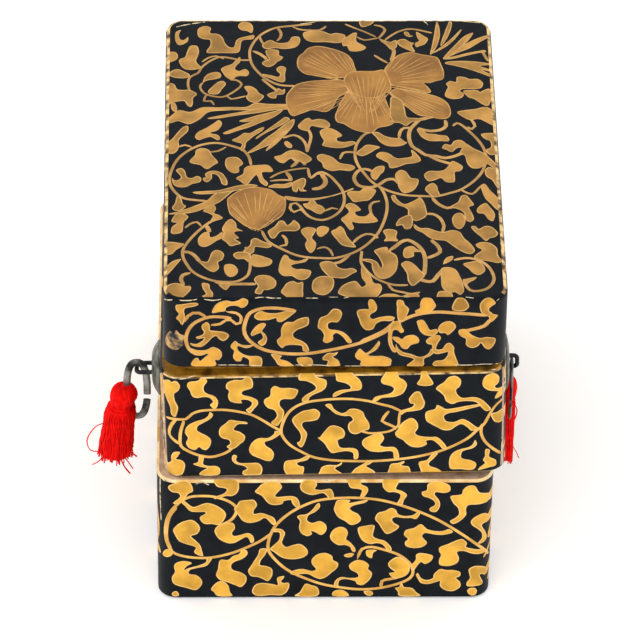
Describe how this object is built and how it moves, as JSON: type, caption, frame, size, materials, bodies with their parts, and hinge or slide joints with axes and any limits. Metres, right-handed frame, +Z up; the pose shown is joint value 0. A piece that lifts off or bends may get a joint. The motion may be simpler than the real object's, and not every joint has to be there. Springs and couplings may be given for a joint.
{
  "type": "stacked food box",
  "caption": "Small rectangular lacquered food box of stacked trays with a lift-off lid, raised inner lips, side ring fittings and hanging silk tassels",
  "frame": {"origin": "middle of the flat underside of the lower tier, where the box stands", "axes": "+X to the right along the narrow decorated front, +Y back from the front face along the long sides, +Z up through the lid"},
  "size_m": [0.0899, 0.0955, 0.0836],
  "materials": {
    "dark_lacquer": "glossy dark blue-black lacquer with flat gold scroll decoration, worn pale at the edges",
    "pale_metal": "dull pale metal",
    "grey_metal": "tarnished grey metal",
    "red_silk": "twisted red silk thread"
  },
  "bodies": {
    "root": {"lid": "dark_lacquer", "upper_tier": "dark_lacquer", "lower_tier": "dark_lacquer", "left_washer": "pale_metal", "right_washer": "pale_metal", "left_boss": "grey_metal", "right_boss": "grey_metal", "left_eye": "grey_metal", "right_eye": "grey_metal", "left_ring": "grey_metal", "right_ring": "grey_metal", "left_tassel": "red_silk", "right_tassel": "red_silk"}
  },
  "joints": []
}
